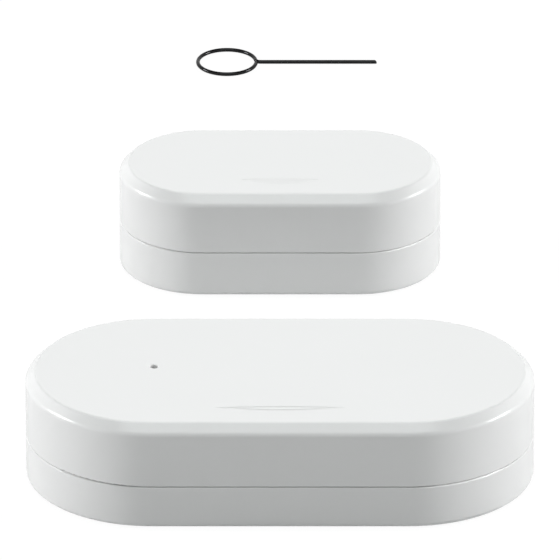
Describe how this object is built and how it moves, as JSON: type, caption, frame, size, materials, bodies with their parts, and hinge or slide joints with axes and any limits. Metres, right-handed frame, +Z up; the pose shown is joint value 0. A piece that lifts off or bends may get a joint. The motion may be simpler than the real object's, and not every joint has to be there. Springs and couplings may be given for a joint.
{
  "type": "door and window sensor",
  "caption": "Wireless door and window sensor with round-ended casing, matching magnet unit and a wire reset pin.",
  "frame": {"origin": "centre of the underside of the sensor's adhesive pad, on the surface that the units lie on", "axes": "+X along the sensor's length, +Y from the sensor to the magnet unit and the reset pin, +Z up"},
  "size_m": [0.074, 0.165, 0.0166],
  "materials": {
    "casing": "gloss",
    "foam": "matte",
    "tray": "satin",
    "can": "satin",
    "sleeve": "gloss",
    "contact": "satin",
    "board": "satin",
    "module": "satin",
    "shield": "satin",
    "chip": "matte",
    "capacitor": "satin",
    "ceramic_chip": "satin",
    "led": "gloss",
    "switch_base": "satin",
    "plunger": "satin",
    "reed_glass": "gloss",
    "blade": "satin",
    "screw": "satin",
    "magnet": "satin",
    "pin_wire": "gloss"
  },
  "bodies": {
    "sensor_base": {"sensor_back_cover": "casing", "sensor_pad": "foam"},
    "sensor_front": {"sensor_front_cover": "casing", "battery_tray": "tray", "negative_contact": "contact", "positive_contact": "contact", "bridge_contact": "contact", "negative_spring": "contact", "bridge_spring": "contact", "main_board": "board", "radio_module_board": "module", "radio_shield": "shield", "voltage_regulator": "chip", "storage_capacitor": "capacitor", "chip_parts": "ceramic_chip", "status_led": "led", "reset_switch_base": "switch_base", "reset_switch_dome": "shield", "reset_switch_cover": "shield", "reed_glass": "reed_glass", "reed_fixed_blade": "blade", "reed_lead": "blade", "tray_screws": "screw", "board_screws": "screw"},
    "front_cell": {"front_cell_can": "can", "front_cell_sleeve": "sleeve"},
    "rear_cell": {"rear_cell_can": "can", "rear_cell_sleeve": "sleeve"},
    "reset_plunger": {"reset_switch_plunger": "plunger"},
    "reed_blade": {"reed_moving_blade": "blade"},
    "magnet_base": {"magnet_back_cover": "casing", "magnet_pad": "foam", "bar_magnet": "magnet"},
    "magnet_front": {"magnet_front_cover": "casing"},
    "reset_pin": {"reset_pin": "pin_wire"}
  },
  "joints": [
    {"name": "sensor_front_lift", "type": "slide", "parent": "sensor_base", "child": "sensor_front", "axis": [0, 0, 1], "range_m": [0, 0.04]},
    {"name": "front_cell_out", "type": "slide", "parent": "sensor_front", "child": "front_cell", "axis": [0, 0, -1], "range_m": [0, 0.021]},
    {"name": "rear_cell_out", "type": "slide", "parent": "sensor_front", "child": "rear_cell", "axis": [0, 0, -1], "range_m": [0, 0.021]},
    {"name": "reset_press", "type": "slide", "parent": "sensor_front", "child": "reset_plunger", "axis": [0, 0, -1], "range_m": [0, 0.00025], "stiffness_N_per_m": 1500},
    {"name": "reed_close", "type": "hinge", "parent": "sensor_front", "child": "reed_blade", "pos_m": [0.00525, 0.01422, 0.01295], "axis": [0, -1, 0], "range_deg": [0, 0.9], "stiffness_Nm_per_rad": 0.02},
    {"name": "magnet_slide", "type": "slide", "parent": "sensor_base", "child": "magnet_base", "axis": [0, 1, 0], "range_m": [-0.0348, 0.04]},
    {"name": "magnet_front_lift", "type": "slide", "parent": "magnet_base", "child": "magnet_front", "axis": [0, 0, 1], "range_m": [0, 0.03]},
    {"name": "pin_lift", "type": "slide", "parent": "sensor_base", "child": "reset_pin", "axis": [0, 0, 1], "range_m": [0, 0.03]}
  ],
  "couplings": [
    {"joint": "front_cell_out", "follows": "sensor_front_lift", "ratio": 0.5},
    {"joint": "rear_cell_out", "follows": "sensor_front_lift", "ratio": 0.5}
  ]
}
